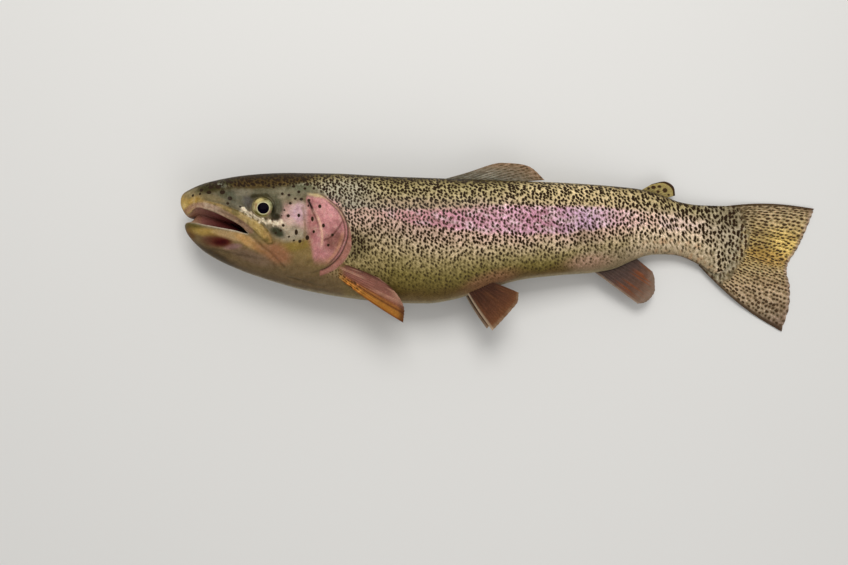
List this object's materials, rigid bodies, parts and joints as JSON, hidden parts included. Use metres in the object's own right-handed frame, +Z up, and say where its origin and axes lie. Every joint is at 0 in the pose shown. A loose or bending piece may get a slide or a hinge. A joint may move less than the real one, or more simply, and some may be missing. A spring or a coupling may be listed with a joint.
{
  "type": "rainbow trout",
  "caption": "Whole rainbow trout, life-size, lying on its right flank with its mouth a little open, its back fin half folded and its tail bent down towards the belly.",
  "frame": {"origin": "centre of the underside of the fish's box, on the surface it lies on", "axes": "+X from the snout to the tail, +Y from the belly to the back, +Z up, out of the left flank"},
  "size_m": [0.4818, 0.1262, 0.0493],
  "materials": {
    "skin": "wet, smooth",
    "jaw": "wet, smooth",
    "gill_cover": "wet, glossy",
    "scales": "wet, finely scaled",
    "fin": "wet, ribbed",
    "eye": "glossy, wet"
  },
  "bodies": {
    "root": {"head": "skin", "lower_jaw": "jaw", "maxilla_left": "jaw", "maxilla_right": "jaw", "gill_cover_left": "gill_cover", "gill_cover_right": "gill_cover", "eye_left": "eye", "eye_right": "eye", "trunk_front": "scales", "trunk_rear": "scales", "tail_stalk": "scales", "dorsal_fin": "fin", "adipose_fin": "fin", "anal_fin": "fin", "caudal_fin": "fin", "pectoral_fin_left": "fin", "pectoral_fin_right": "fin", "pelvic_fin_left": "fin", "pelvic_fin_right": "fin"}
  },
  "joints": []
}
